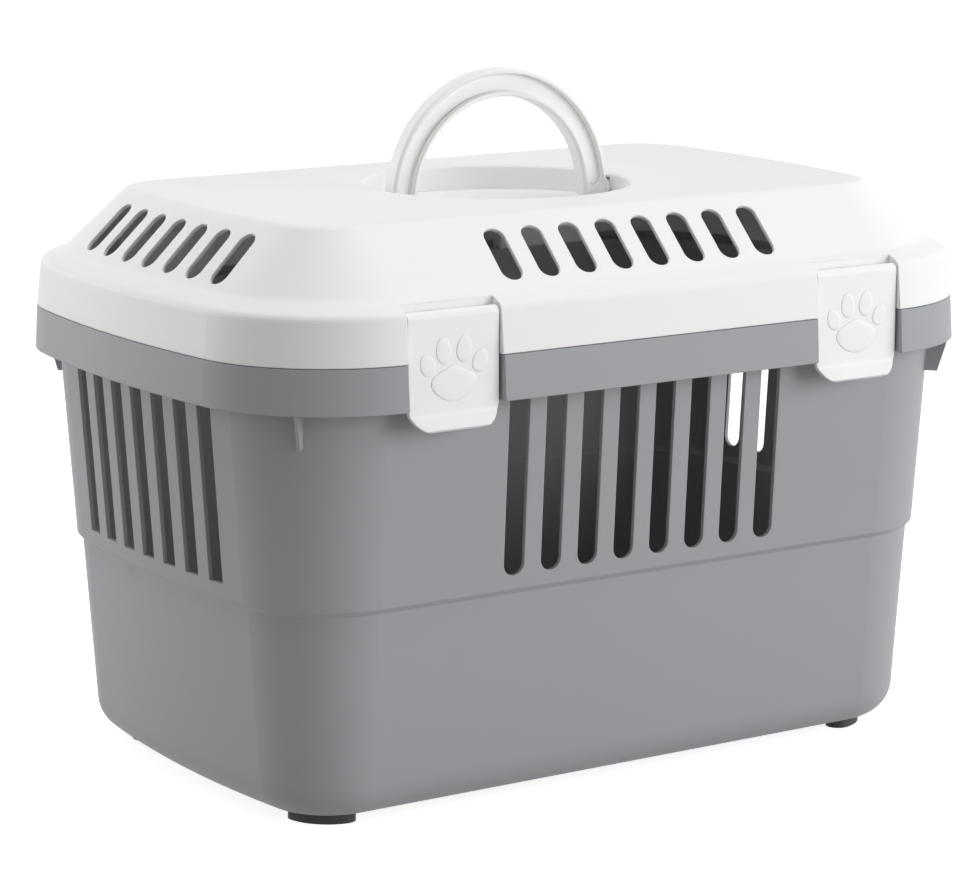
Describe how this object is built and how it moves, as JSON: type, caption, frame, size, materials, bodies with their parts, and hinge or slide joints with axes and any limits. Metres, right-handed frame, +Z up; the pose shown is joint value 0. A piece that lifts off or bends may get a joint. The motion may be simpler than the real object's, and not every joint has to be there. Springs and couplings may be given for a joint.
{
  "type": "pet carrier",
  "caption": "Small hard pet carrier: slotted tub on soft feet, lift-off lid with folding bail handle in a round well, and side clips that lock the lid.",
  "frame": {"origin": "on the floor under the middle of the carrier", "axes": "+Z up, +X along the length, -Y towards the side seen in the picture; the handle stands upright"},
  "size_m": [0.49, 0.3302, 0.3814],
  "materials": {
    "tub_plastic": "fine satin grain, mid grey",
    "lid_plastic": "semi-gloss white",
    "handle_plastic": "semi-gloss white",
    "clip_plastic": "semi-gloss white",
    "foot_rubber": "matt black soft rubber"
  },
  "bodies": {
    "base": {"base_tub": "tub_plastic", "foot_front_left": "foot_rubber", "foot_front_right": "foot_rubber", "foot_rear_left": "foot_rubber", "foot_rear_right": "foot_rubber"},
    "lid": {"lid": "lid_plastic"},
    "handle": {"handle": "handle_plastic"},
    "clip_front_left": {"clip_front_left": "clip_plastic"},
    "clip_front_right": {"clip_front_right": "clip_plastic"},
    "clip_rear_left": {"clip_rear_left": "clip_plastic"},
    "clip_rear_right": {"clip_rear_right": "clip_plastic"}
  },
  "joints": [
    {"name": "lid_lift", "type": "slide", "parent": "base", "child": "lid", "axis": [0, 0, 1], "range_m": [0, 0.09]},
    {"name": "handle_fold", "type": "hinge", "parent": "lid", "child": "handle", "pos_m": [0, 0, 0.31], "axis": [1, 0, 0], "range_deg": [-90, 90]},
    {"name": "clip_front_left_swing", "type": "hinge", "parent": "lid", "child": "clip_front_left", "pos_m": [-0.1306, -0.157, 0.275], "axis": [-1, 0, 0], "range_deg": [0, 120]},
    {"name": "clip_front_right_swing", "type": "hinge", "parent": "lid", "child": "clip_front_right", "pos_m": [0.1306, -0.157, 0.275], "axis": [-1, 0, 0], "range_deg": [0, 120]},
    {"name": "clip_rear_left_swing", "type": "hinge", "parent": "lid", "child": "clip_rear_left", "pos_m": [-0.1306, 0.157, 0.275], "axis": [1, 0, 0], "range_deg": [0, 120]},
    {"name": "clip_rear_right_swing", "type": "hinge", "parent": "lid", "child": "clip_rear_right", "pos_m": [0.1306, 0.157, 0.275], "axis": [1, 0, 0], "range_deg": [0, 120]}
  ],
  "couplings": [
    {"joint": "clip_front_left_swing", "follows": "lid_lift", "rad_per_m": 23.266},
    {"joint": "clip_front_right_swing", "follows": "lid_lift", "rad_per_m": 23.266},
    {"joint": "clip_rear_left_swing", "follows": "lid_lift", "rad_per_m": 23.266},
    {"joint": "clip_rear_right_swing", "follows": "lid_lift", "rad_per_m": 23.266}
  ]
}
